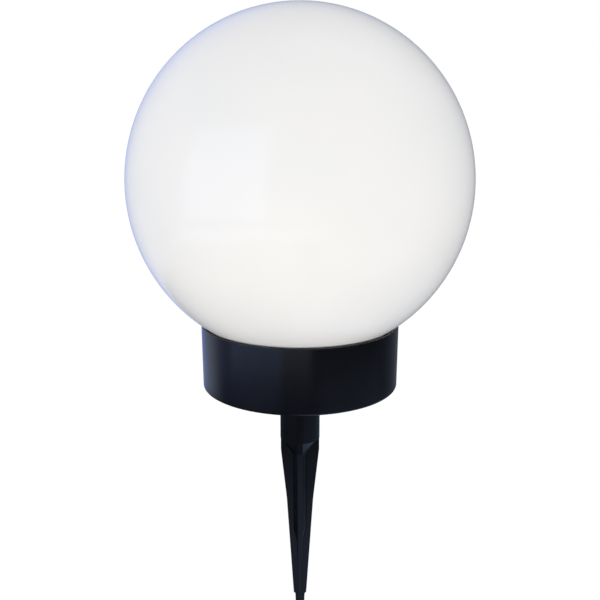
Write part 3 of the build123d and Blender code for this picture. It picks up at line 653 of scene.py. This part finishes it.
# tooth: (share of the pitch, share of the depth) along one tooth; letterSize: font size over its height
switchValues = {"knob": 3.0, "corner": 0.2, "overlap": 0.1, "shoeHeight": 1.2, "bevel": 0.08, "teeth": 4,
                "toothDepth": 0.35, "tooth": ((0.1, 0), (0.6, 0), (0.75, 1), (0.95, 1)), "letter": 1.9,
                "letterSize": 1.38, "raise": 0.25, "wordX": 3.2, "wordY": 3.05, "joinWithin": 0.001}


def makeSlider(v):
    # Shoe and knob as flat outlines in x and z carried along Y; the knob's free end is a row of teeth, with
    # no groove after the last one.
    low, high, middle = boxOf("switch_slider")
    half, shoeFoot = v["knob"] / 2, high[2] - v["shoeHeight"]
    left, right = middle[0] - half, middle[0] + half
    shoe = [(low[0], shoeFoot), (high[0], shoeFoot), (high[0], high[2]), (low[0], high[2])]
    pitch = v["knob"] / v["teeth"]
    teeth = [(left + (number + share) * pitch, low[2] + deep * v["toothDepth"])
             for number in range(v["teeth"]) for share, deep in v["tooth"]][:-2]
    knob = [(left, low[2] + v["corner"]), *teeth, (right, low[2] + v["corner"]),
            (right, shoeFoot + v["overlap"]), (left, shoeFoot + v["overlap"])]
    surface = merged([prism(shoe, low[1], high[1]), prism(knob, middle[1] - half, middle[1] + half)])
    piece = finishPiece("switchKnob", surface, "slider", "black_moulding", "package", "switch_slider",
                        smooth=20)
    bevelled(piece, v["bevel"])


def makeMarks(v):
    # OFF and ON raised from the floor of the switch's recess, to be read from below
    middle = boxOf("switch_body")[2]
    floor = boxOf("switch_screws")[0][2]
    words = []
    for word, x in (("OFF", -v["wordX"]), ("ON", v["wordX"])):
        curve = bpy.data.curves.new(word, "FONT")
        curve.body, curve.size, curve.extrude = word, v["letter"] * v["letterSize"] * mm, v["raise"] * mm
        curve.align_x, curve.align_y = "CENTER", "CENTER"
        written = bpy.data.objects.new(word, curve)
        scene.collection.objects.link(written)
        bpy.context.view_layer.update()
        drawn = bpy.data.meshes.new_from_object(written.evaluated_get(bpy.context.evaluated_depsgraph_get()))
        bpy.data.objects.remove(written)
        points = np.array([corner.co for corner in drawn.vertices]) / mm * (1, -1, -1)
        faces = [list(face.vertices) for face in drawn.polygons]
        words.append((points + (x, middle[1] - v["wordY"], floor), faces))
    piece = finishPiece("switchMarks", merged(words), "base", "black_plastic", "base", smooth=20)
    # the font's faces and sides share no points, so they are joined and turned to face outwards
    solid = bmesh.new()
    solid.from_mesh(piece.data)
    bmesh.ops.remove_doubles(solid, verts=solid.verts, dist=v["joinWithin"] * mm)
    bmesh.ops.recalc_face_normals(solid, faces=solid.faces)
    solid.to_mesh(piece.data)
    solid.free()


makeSlider(switchValues)
makeMarks(switchValues)
print("stage: switch made")


# shift: how far the high end of the lead at +X stands from its low end, in x and y
leadValues = {"radius": 0.6, "upright": 0.3, "columns": 16,
              "shift": {"battery_leads": (-6.5, 0.0), "switch_leads": (2.5, 3.6), "cell_leads": (-2.5, 0.0)}}


def leadPath(start, end, upright):
    # upright at both ends for a share of the rise, leaning over between, all bends rounded
    start, end = np.array(start), np.array(end)
    step = np.array([0, 0, (end[2] - start[2]) * upright])
    return softened([start, start + step / 2, start + step, end - step, end - step / 2, end])


def leadEnds(node, side, v):
    # the low and the high end of a node's lead at the side -1 or 1
    low, high, middle = boxOf(node)
    shiftX, shiftY = v["shift"][node]
    outer, y = high[0] - v["radius"] - max(shiftX, 0), middle[1] - shiftY / 2
    return (side * outer, y, low[2]), (side * (outer + shiftX), y + shiftY, high[2])


def makeLeads(v):
    # a pair of leads for each node, as tubes along their paths
    for node, (shiftX, shiftY) in v["shift"].items():
        wires = [tube(leadPath(*leadEnds(node, side, v), v["upright"]), v["radius"],
                      (shiftY * side, -shiftX, 0), v["columns"]) for side in (-1, 1)]
        finishPiece(node.split("_")[0] + "Leads", merged(wires), "base", "lead_insulation", "lead", node)


# cup and dot: (r, height above the lamp's foot); post: (side, height) of what stands on each pin
lampValues = {"radius": 2.5, "height": 8.6, "flange": 2.9, "flangeHeight": 1.0, "flat": 2.6, "fillet": 0.1,
              "pin": 0.5, "pinPitch": 2.54, "pinHeight": 1.2, "post": ((-1, 1.8), (1, 3.9)), "postFoot": 1.0,
              "cup": ((0, 3.0), (0.55, 3.3), (0.8, 3.9), (0.95, 3.9), (0.95, 2.6), (0.35, 1.6), (0, 1.6)),
              "dot": ((0, 3.75), (0.3, 3.72), (0.7, 3.6), (0.6, 3.4), (0, 3.35)), "cupShare": 0.35,
              "postShare": 0.5, "angles": (0, 90, 180, 270), "domeFrom": 6, "domeRows": 15,
              "cupColumns": 24}


def makeLamps(v):
    # Clear lamp turned about its axis: half sphere, cylinder and flange; one side of the flange is cut flat
    # by holding its radius under flat / cos(angle). Inside stand the cup with its yellow dot, and the post.
    low, high, _ = boxOf("leds")
    r, top, base = v["radius"], high[2], high[2] - v["height"]
    shoulder, circle = base + v["flangeHeight"], high[0] - v["flange"]
    slopes = np.radians(np.linspace(v["domeFrom"], 90, v["domeRows"]))
    dome = [(r * math.sin(a), top - r + r * math.cos(a)) for a in slopes]
    points, faces = turned([(0, top), *dome, (r, shoulder + v["fillet"]), (r + v["fillet"], shoulder),
                            (v["flange"], shoulder), (v["flange"], base), (0, base)])
    # 0.3 and 0.01 only keep the divisions safe
    limit = v["flat"] / np.maximum(np.cos(np.arctan2(points[:, 1], points[:, 0])), 0.3)
    points[:, :2] *= np.minimum(1, limit / np.maximum(np.hypot(points[:, 0], points[:, 1]), 0.01))[:, None]
    cup, dot = (turned([(x, base + z) for x, z in v[part]], v["cupColumns"]) for part in ("cup", "dot"))
    square = np.array([(-1, -1), (1, -1), (1, 1), (-1, 1)]) * v["pin"] / 2
    domes, frames, dots = [], [], []
    for a in np.radians(v["angles"]):
        spot = circle * np.array([math.cos(a), math.sin(a)])
        across = np.array([-math.sin(a), math.cos(a)]) * v["pinPitch"] / 2
        beside = (*(spot - across * v["cupShare"]), 0)
        domes.append(placed((points @ turnMatrix(a), faces), [(*spot, 0)]))
        frames.append(placed(cup, [beside]))
        dots.append(placed(dot, [beside]))
        for side, peak in v["post"]:
            pin, post = (square + spot + side * across * share for share in (1, v["postShare"]))
            frames.append(prism(pin, low[2], base + v["pinHeight"], axis=2))
            frames.append(prism(post, base + v["postFoot"], base + peak, axis=2))
    finishPiece("lampDomes", merged(domes), "base", "led_resin", "resin", "leds")
    finishPiece("lampFrames", merged(frames), "base", "contact_nickel", "tin", smooth=30)
    finishPiece("lampDots", merged(dots), "base", "led_resin", "phosphor")


coilValues = {"flange": 1.2, "round": 0.25, "waist": 2.6, "winding": 3.45, "wire": 0.4, "gap": 0.02,
              "bulge": 0.98, "bobbinColumns": 56, "columns": 64, "rows": 90}


def makeInductor(v):
    # Turned ferrite bobbin, and a winding whose radius bulges by half a wire on every turn of its helix:
    # the root of 1 less the square of the way from the wire's middle.
    low, high, middle = boxOf("inductor")
    full, edge, spot = (high[0] - low[0]) / 2, v["round"], [(middle[0], middle[1], 0)]
    bottom, top, under, over = low[2], high[2], low[2] + v["flange"], high[2] - v["flange"]
    profile = [(0, top), (full - edge, top), (full, top - edge), (full, over + edge), (full - edge, over),
               (v["waist"], over), (v["waist"], under), (full - edge, under), (full, under - edge),
               (full, bottom + edge), (full - edge, bottom), (0, bottom)]
    bobbin = placed(turned(profile, v["bobbinColumns"]), spot)
    finishPiece("ferriteBobbin", bobbin, "base", "ferrite", "ferrite", "inductor", smooth=30)
    angle, start, end = fullTurn(v["columns"]), under + v["gap"], over - v["gap"]
    levels = np.linspace(start, end, v["rows"])[:, None]
    bulge = np.sqrt(1 - (1 - ridges(levels, angle, v["wire"])) ** 2 * v["bulge"])
    radius = v["winding"] - v["wire"] / 2 * (1 - bulge)
    wound = closedGrid(swept(radius, angle, levels), (0, 0, start), (0, 0, end))
    finishPiece("copperWinding", placed(wound, spot), "base", "ferrite", "copper", smooth=60)


canValues = {"edge": 0.3, "open": 2.55, "lip": 0.06, "sunk": 0.2, "plate": 0.3, "beadHeight": 1.5,
             "beadHalf": 0.35, "beadDepth": 0.25, "slot": 0.2, "reach": 2.0, "deep": 0.09, "slope": 0.12,
             "inner": 0.06, "overlap": 0.02, "canColumns": 56, "columns": 96, "rows": 30}


def makeCapacitor(v):
    # Turned can with its sleeve rolled over the free end and a bead near the board, and an end plate whose
    # height is scored by a cross.
    low, high, middle = boxOf("capacitor")
    full, spot = (high[0] - low[0]) / 2, [(middle[0], middle[1], 0)]
    bottom, top = low[2], high[2]
    bead, plate = top - v["beadHeight"], bottom + v["sunk"]
    back = plate + v["plate"]
    profile = [(0, back), (v["open"], back), (v["open"], bottom + v["lip"]), (v["open"] + v["lip"], bottom),
               (full - v["edge"], bottom), (full, bottom + v["edge"]), (full, bead - v["beadHalf"]),
               (full - v["beadDepth"], bead), (full, bead + v["beadHalf"]), (full, top), (0, top)]
    can = placed(turned(profile, v["canColumns"]), spot)
    finishPiece("capacitorCan", can, "base", "capacitor_sleeve", "sleeve", "capacitor", smooth=50)
    angle = fullTurn(v["columns"])
    radii = np.linspace(v["inner"], v["open"], v["rows"])[:, None] + 0 * angle
    depth = crossRecess(radii * np.cos(angle), radii * np.sin(angle), v)
    radii = np.vstack([radii, radii[-1:]])
    behind = back + v["overlap"]
    height = np.vstack([plate + depth, behind + 0 * angle])
    end = closedGrid(swept(radii, angle, height), (0, 0, plate + v["deep"]), (0, 0, behind))
    finishPiece("capacitorEnd", placed(end, spot), "base", "contact_nickel", "aluminium", smooth=30)


chipValues = {"width": 3.9, "length": 5.0, "height": 1.5, "draft": 0.15, "sunk": 0.05, "bevel": 0.06,
              "legs": 4, "pitch": 1.27, "legWidth": 0.42, "legThick": 0.2, "legIn": 0.1, "legOut": 0.3,
              "legFoot": 0.5, "bendIn": 0.1, "bendOut": 0.08}


def makeChip(v):
    # Body outline in y and z with drafted sides, carried along X; each leg is a bent strip in y and z.
    low, high, (x, y, _) = boxOf("controller_chip")
    half, top, slanted = v["width"] / 2, high[2], v["width"] / 2 - v["draft"]
    middle = top - v["height"] / 2
    body = [(y - slanted, top - v["sunk"]), (y - half, middle), (y - slanted, low[2]),
            (y + slanted, low[2]), (y + half, middle), (y + slanted, top - v["sunk"])]
    surface = prism(body, x - v["length"] / 2, x + v["length"] / 2, axis=0)
    piece = finishPiece("chipBody", surface, "base", "black_moulding", "package", "controller_chip",
                        smooth=20)
    bevelled(piece, v["bevel"])
    thick, foot, out = v["legThick"], v["legFoot"], high[1] - y
    root, bend = half - v["legIn"], half + v["legOut"]
    strip = np.array([(root, middle + thick / 2), (bend, middle + thick / 2), (out - foot, top), (out, top),
                      (out, top - thick), (out - foot + v["bendOut"], top - thick),
                      (bend + v["bendIn"], middle - thick / 2), (root, middle - thick / 2)])
    starts = [x + (number - (v["legs"] - 1) / 2) * v["pitch"] - v["legWidth"] / 2
              for number in range(v["legs"])]
    legs = [prism(strip * (side, 1) + (y, 0), start, start + v["legWidth"], axis=0)
            for start in starts for side in (-1, 1)]
    finishPiece("chipLegs", merged(legs), "base", "contact_nickel", "tin", smooth=20)


# pins: half the distance between the two pins of a part on the board
jointValues = {"wide": 1.1, "narrow": 0.62, "height": 0.8, "point": 0.12, "columns": 20, "rows": 7,
               "pins": {"inductor": 2.5, "capacitor": 1.25}}


def makeJoints(v):
    # Solder cone turned about Z; its radius falls from wide to narrow as the square of what is left of its
    # height. One stands wherever a lead or a pin meets the board.
    boardLow, boardHigh, _ = boxOf("circuit_board")
    share = np.linspace(0, 1, v["rows"])
    radii = v["narrow"] + (v["wide"] - v["narrow"]) * (1 - share) ** 2
    cone = [(0, 0), *zip(radii, v["height"] * share), (0, v["height"] + v["point"])]
    cone = turned(cone, v["columns"])
    # battery and switch leads end on its underside, cell leads start on its top
    under = [leadEnds(node, side, leadValues)[1][:2]
             for node in ("battery_leads", "switch_leads") for side in (-1, 1)]
    over = [leadEnds("cell_leads", side, leadValues)[0][:2] for side in (-1, 1)]
    circle, half = boxOf("leds")[1][0] - lampValues["flange"], lampValues["pinPitch"] / 2
    pairs = [(side * circle, sign * half) for side in (-1, 1) for sign in (-1, 1)]
    under += pairs + [(y, x) for x, y in pairs]
    for node, half in v["pins"].items():
        middle = boxOf(node)[2]
        over += [(middle[0] + sign * half, middle[1]) for sign in (-1, 1)]
    lower = placed(cone, [(x, y, boardLow[2]) for x, y in under], flip=True)
    upper = placed(cone, [(x, y, boardHigh[2]) for x, y in over])
    finishPiece("solderJoints", merged([lower, upper]), "base", "contact_nickel", "solder", smooth=50)


makeLeads(leadValues)
makeLamps(lampValues)
makeInductor(coilValues)
makeCapacitor(canValues)
makeChip(chipValues)
makeJoints(jointValues)
print("stage: electronics made")


def makeCamera():
    # at the photograph's viewing angle
    values = {"place": (0.0, -0.53963, 0.2276), "down": 16.215, "lens": 55.5, "sensor": 36, "shift": 0.0667,
              "clip": (0.01, 50)}
    data = bpy.data.cameras.new("camera")
    data.lens, data.sensor_width, data.shift_y = values["lens"], values["sensor"], values["shift"]
    data.clip_start, data.clip_end = values["clip"]
    camera = bpy.data.objects.new("camera", data)
    camera.location = values["place"]
    camera.rotation_euler = (math.radians(90 - values["down"]), 0, 0)
    scene.collection.objects.link(camera)
    scene.camera = camera


def ownTree(owner, output):
    # an emptied node tree, and the Surface input of its new output node
    owner.use_nodes = True
    tree = owner.node_tree
    tree.nodes.clear()
    return tree, addNode(tree, output).inputs["Surface"]


def seenRays(tree):
    # 1 for camera, glossy and transmission rays, 0 for the light that falls on things
    path = addNode(tree, "ShaderNodeLightPath").outputs
    return arithmetic(tree, "MAXIMUM", path["Is Camera Ray"], path["Is Glossy Ray"],
                      path["Is Transmission Ray"])


def makeWorld():
    # white where it is seen, and a little dimmer as the light that falls on things
    values = {"seen": 1.0, "ambient": 0.925}
    world = bpy.data.worlds.new("studio")
    tree, surface = ownTree(world, "ShaderNodeOutputWorld")
    strength = mapped(tree, seenRays(tree), 0.0, 1.0, values["ambient"], values["seen"])
    shade = addNode(tree, "ShaderNodeBackground", {"Color": (1, 1, 1, 1)}, {"Strength": strength})
    tree.links.new(shade.outputs["Background"], surface)
    scene.world = world


def makeFloor():
    # pale floor: white to the eye, with a trace of the lamp's shadow
    values = {"half": 12.0, "drop": 0.0006, "white": 1.06, "matt": (0.8, 0.8, 0.8, 1), "shadowShare": 0.12}
    low, half = cadBox[0].z - values["drop"], values["half"]
    points = np.array([(-half, -half, low), (half, -half, low), (half, half, low), (-half, half, low)])
    floor = meshObject("floor", (points, [(0, 1, 2, 3)]))
    material = bpy.data.materials.new("paleFloor")
    tree, surface = ownTree(material, "ShaderNodeOutputMaterial")
    white = addNode(tree, "ShaderNodeEmission", {"Color": (1, 1, 1, 1), "Strength": values["white"]})
    matt = addNode(tree, "ShaderNodeBsdfDiffuse", {"Color": values["matt"]})
    share = mapped(tree, seenRays(tree), 0.0, 1.0, 0.0, 1 - values["shadowShare"])
    mix = addNode(tree, "ShaderNodeMixShader",
                  links={"Fac": share, 1: matt.outputs["BSDF"], 2: white.outputs["Emission"]})
    tree.links.new(mix.outputs["Shader"], surface)
    floor.data.materials.append(material)


def makeTent():
    # Grey cloth tent round the lamp, seen only in reflections: it keeps the black plastic dark and draws the
    # globe's edge, and holds the bright square of the softbox. Half section (r, z): along the floor, up a
    # wall and over. Sides of a patch are (from, to, softness) in degrees: azimuth from the camera's side,
    # positive to the left, and elevation from the globe's foot.
    values = {"radius": 0.9, "high": 1.1, "top": 0.2, "lift": 0.0003, "eye": 0.13, "rows": 24, "columns": 144,
              "floorRadii": (0.002, 0.25, 0.5), "foot": 0.02, "topRadii": (0.6, 0.3, 0.02),
              "wall": ((0.0, "#8791B2"), (0.07, "#6C6E7C"), (0.2, "#3A4250"), (0.40, "#2E3038"),
                       (0.5, "#3B3F4B"), (0.62, "#5A6378"), (0.72, "#6C7CA5"), (0.78, "#8C98B8"),
                       (0.83, "#B4BFD6"), (0.88, "#A3B2DA"), (0.91, "#94A8E2"), (0.95, "#94A8E2"),
                       (1.0, "#8791B2")),
              "wallFoot": (0.01, 0.005), "topFrom": (45, 15), "topBehindFrom": (90, 20),
              "topBehind": (0.31, 0.29, 0.32), "topFront": (0.09, 0.09, 0.1),
              "floorLeft": ((0.36, "#32353F"), (0.5, "#4E5872"), (0.59, "#7280AA")),
              "floorRight": ((0.1, "#8C9CBC"), (0.2, "#606E86"), (0.34, "#5C6A80"), (0.56, "#525E6E"),
                             (0.63, "#26272B")),
              "leftFrom": (10, 8), "floorFront": "#2A2F3C", "frontSides": (-20, 22, 9),
              "frontFrom": (0.27, 0.05), "behindFrom": (100, 10), "behindFlat": (0.45, 0.06),
              "strip": (0.62, 0.68, 0.8), "stripSides": ((-12, 30, 3), (-20.9, -17, 0.8)),
              "softbox": (0.62, 0.80, 1.35), "matSides": ((19, 82, 3), (-21.2, -17.8, 1.5)),
              "panelSides": (19, 73, 2), "panelFoot": (-12, 1.5), "panelTop": (40.5, 1.5), "sinks": 0.00175}
    low, out, high = cadBox[0].z - values["lift"], values["radius"], values["high"]
    profile = [(r, low) for r in (*values["floorRadii"], out)]
    profile += [(out, z) for z in np.linspace(low + values["foot"], high, values["rows"])]
    profile += [(r, high + values["top"] * (1 - r / out)) for r in values["topRadii"]]
    radius, height = np.array(profile).T[:, :, None]
    tent = meshObject("tent", closedGrid(swept(radius, fullTurn(values["columns"]), height)))
    material = bpy.data.materials.new("greyTent")
    tree, surface = ownTree(material, "ShaderNodeOutputMaterial")

    def inDegrees(rise, run):
        # the angle whose tangent is rise over run
        return arithmetic(tree, "DEGREES", arithmetic(tree, "ARCTAN2", rise, run))

    def edge(value, start, soft, rising=True):
        # 0 before start and 1 after it, or the other way round, with a smooth change
        ends = (0.0, 1.0) if rising else (1.0, 0.0)
        return mapped(tree, value, start - soft, start + soft, *ends, "SMOOTHSTEP")

    def span(value, start, end, soft):
        # 1 between start and end
        return arithmetic(tree, "MULTIPLY", edge(value, start, soft), edge(value, end, soft, False))

    def patch(sides):
        # 1 inside four sides on the tent
        return arithmetic(tree, "MULTIPLY", span(azimuth, *sides[0]), span(elevation, *sides[1]))

    split = axes(tree, addNode(tree, "ShaderNodeNewGeometry").outputs["Position"])
    flat = hypotenuse(tree, split["X"], split["Y"])
    azimuth = inDegrees(*(arithmetic(tree, "MULTIPLY", split[axis], -1.0) for axis in "XY"))
    elevation = inDegrees(arithmetic(tree, "SUBTRACT", split["Z"], values["eye"]), flat)
    aside = arithmetic(tree, "ABSOLUTE", azimuth)
    wall = ramp(tree, mapped(tree, azimuth, -180, 180), *values["wall"])
    right, left = (ramp(tree, flat, *values[side]) for side in ("floorRight", "floorLeft"))
    floor = mixed(tree, edge(azimuth, *values["leftFrom"]), right, left)
    inFront = arithmetic(tree, "MULTIPLY", span(azimuth, *values["frontSides"]),
                         edge(flat, *values["frontFrom"]))
    floor = mixed(tree, inFront, floor, linear(values["floorFront"]))
    behind = arithmetic(tree, "MULTIPLY", edge(aside, *values["behindFrom"]),
                        edge(flat, *values["behindFlat"]))
    floor = mixed(tree, behind, floor, wall)
    wallStart, wallSoft = values["wallFoot"]
    colour = mixed(tree, edge(split["Z"], low + wallStart, wallSoft), floor, wall)
    above = mixed(tree, edge(aside, *values["topBehindFrom"]), values["topFront"], values["topBehind"])
    colour = mixed(tree, edge(elevation, *values["topFrom"]), colour, above)
    colour = mixed(tree, patch(values["stripSides"]), colour, values["strip"])
    # the softbox's panel is flat, so its top sinks with the square of the azimuth; a mat lies at its foot
    sunk = arithmetic(tree, "MULTIPLY", azimuth, azimuth, values["sinks"])
    panel = arithmetic(tree, "MULTIPLY", span(azimuth, *values["panelSides"]),
                       edge(elevation, *values["panelFoot"]),
                       edge(arithmetic(tree, "ADD", elevation, sunk), *values["panelTop"], False))
    softbox = arithmetic(tree, "MAXIMUM", panel, patch(values["matSides"]))
    colour = mixed(tree, softbox, colour, values["softbox"])
    glow = addNode(tree, "ShaderNodeEmission", {"Strength": 1.0}, {"Color": colour})
    tree.links.new(glow.outputs["Emission"], surface)
    tent.data.materials.append(material)
    tent.visible_camera = tent.visible_diffuse = tent.visible_shadow = tent.visible_transmission = False


# azimuth from the camera's side, positive to the right; degrees, metres and watts
studioLamps = {
    "sideLeft": {"azimuth": -95, "elevation": -3, "away": 1.3, "size": 1, "power": 1.8, "colour": "#EEF2FF"},
    "sideRight": {"azimuth": 95, "elevation": -3, "away": 1.3, "size": 1, "power": 1.4, "colour": "#FFFBF4"},
    "lowFront": {"azimuth": 0, "elevation": -19, "away": 0.62, "size": 0.35, "power": 1.1,
                 "colour": "#FFF6E4"},
}
lampAim = np.array([0, 0, 0.12])


def makeStudioLamp(name, azimuth, elevation, away, size, power, colour):
    # a soft square lamp aimed at the globe, left out of reflections
    a, e = math.radians(azimuth), math.radians(elevation)
    way = np.array([math.sin(a) * math.cos(e), -math.cos(a) * math.cos(e), math.sin(e)])
    data = bpy.data.lights.new(name, "AREA")
    data.shape, data.size = "SQUARE", size
    data.energy, data.color = power, linear(colour)
    lamp = bpy.data.objects.new(name, data)
    lamp.location = lampAim + way * away
    lamp.rotation_euler = Vector(way).to_track_quat("Z", "Y").to_euler()
    lamp.visible_glossy = False
    scene.collection.objects.link(lamp)


makeCamera()
makeWorld()
makeFloor()
makeTent()
for name, values in studioLamps.items():
    makeStudioLamp(name, **values)
scene.view_settings.view_transform = "Standard"
print("stage: camera, floor and light made")
